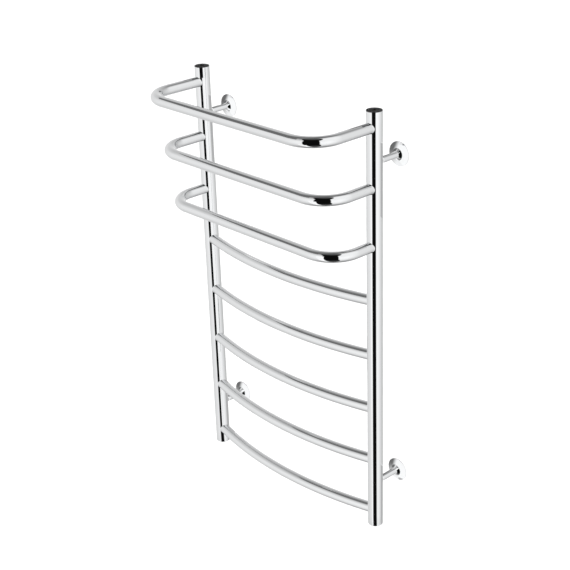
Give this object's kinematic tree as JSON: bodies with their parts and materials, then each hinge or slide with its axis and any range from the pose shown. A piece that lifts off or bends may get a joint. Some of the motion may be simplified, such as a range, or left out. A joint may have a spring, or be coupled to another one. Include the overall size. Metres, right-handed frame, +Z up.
{
  "type": "towel warmer rack",
  "caption": "Wall-hung ladder towel warmer of polished steel tube, with forward shelf rungs above bowed rungs, on round wall rosettes.",
  "frame": {"origin": "middle of the four wall fixing holes, on the face of the wall", "axes": "+X across the rack to the right seen from the front, +Y into the wall, +Z up"},
  "size_m": [0.55, 0.239, 0.915],
  "materials": {
    "polished_steel": "mirror polished stainless steel",
    "plain_steel": "turned stainless steel, hidden or recessed",
    "brass": "nickel-washed turned brass",
    "gasket_rubber": "matte black sealing ring",
    "black_nylon": "moulded black nylon, half gloss"
  },
  "bodies": {
    "wall_fixings": {"wall_base_upper_left": "plain_steel", "wall_base_upper_right": "plain_steel", "wall_base_lower_left": "plain_steel", "wall_base_lower_right": "plain_steel"},
    "rack": {"post_left": "polished_steel", "post_right": "polished_steel", "shelf_rung_top": "polished_steel", "shelf_rung_middle": "polished_steel", "shelf_rung_bottom": "polished_steel", "bow_rung_1": "polished_steel", "bow_rung_2": "polished_steel", "bow_rung_3": "polished_steel", "bow_rung_4": "polished_steel", "bow_rung_5": "polished_steel", "connection_left": "plain_steel", "connection_right": "plain_steel", "vent_bush_left": "plain_steel", "vent_bush_right": "plain_steel", "vent_gasket_left": "gasket_rubber", "vent_gasket_right": "gasket_rubber", "vent_plug_left": "black_nylon", "vent_plug_right": "black_nylon", "sleeve_upper_left": "polished_steel", "sleeve_upper_right": "polished_steel", "sleeve_lower_left": "polished_steel", "sleeve_lower_right": "polished_steel", "grub_screw_upper_left": "plain_steel", "grub_screw_upper_right": "plain_steel", "grub_screw_lower_left": "plain_steel", "grub_screw_lower_right": "plain_steel"},
    "bleed_left": {"bleed_screw_left": "brass"},
    "bleed_right": {"bleed_screw_right": "brass"},
    "cover_upper_left": {"rosette_upper_left": "polished_steel"},
    "cover_upper_right": {"rosette_upper_right": "polished_steel"},
    "cover_lower_left": {"rosette_lower_left": "polished_steel"},
    "cover_lower_right": {"rosette_lower_right": "polished_steel"}
  },
  "joints": [
    {"name": "rack_distance", "type": "slide", "parent": "wall_fixings", "child": "rack", "axis": [0, -1, 0], "range_m": [0, 0.006]},
    {"name": "bleed_turn_left", "type": "hinge", "parent": "rack", "child": "bleed_left", "pos_m": [-0.25, -0.07, 0.447], "axis": [0, 0, 1], "range_deg": [0, 360]},
    {"name": "bleed_turn_right", "type": "hinge", "parent": "rack", "child": "bleed_right", "pos_m": [0.25, -0.07, 0.447], "axis": [0, 0, 1], "range_deg": [0, 360]},
    {"name": "cover_slide_upper_left", "type": "slide", "parent": "wall_fixings", "child": "cover_upper_left", "axis": [0, -1, 0], "range_m": [0, 0.022]},
    {"name": "cover_slide_upper_right", "type": "slide", "parent": "wall_fixings", "child": "cover_upper_right", "axis": [0, -1, 0], "range_m": [0, 0.022]},
    {"name": "cover_slide_lower_left", "type": "slide", "parent": "wall_fixings", "child": "cover_lower_left", "axis": [0, -1, 0], "range_m": [0, 0.022]},
    {"name": "cover_slide_lower_right", "type": "slide", "parent": "wall_fixings", "child": "cover_lower_right", "axis": [0, -1, 0], "range_m": [0, 0.022]}
  ]
}
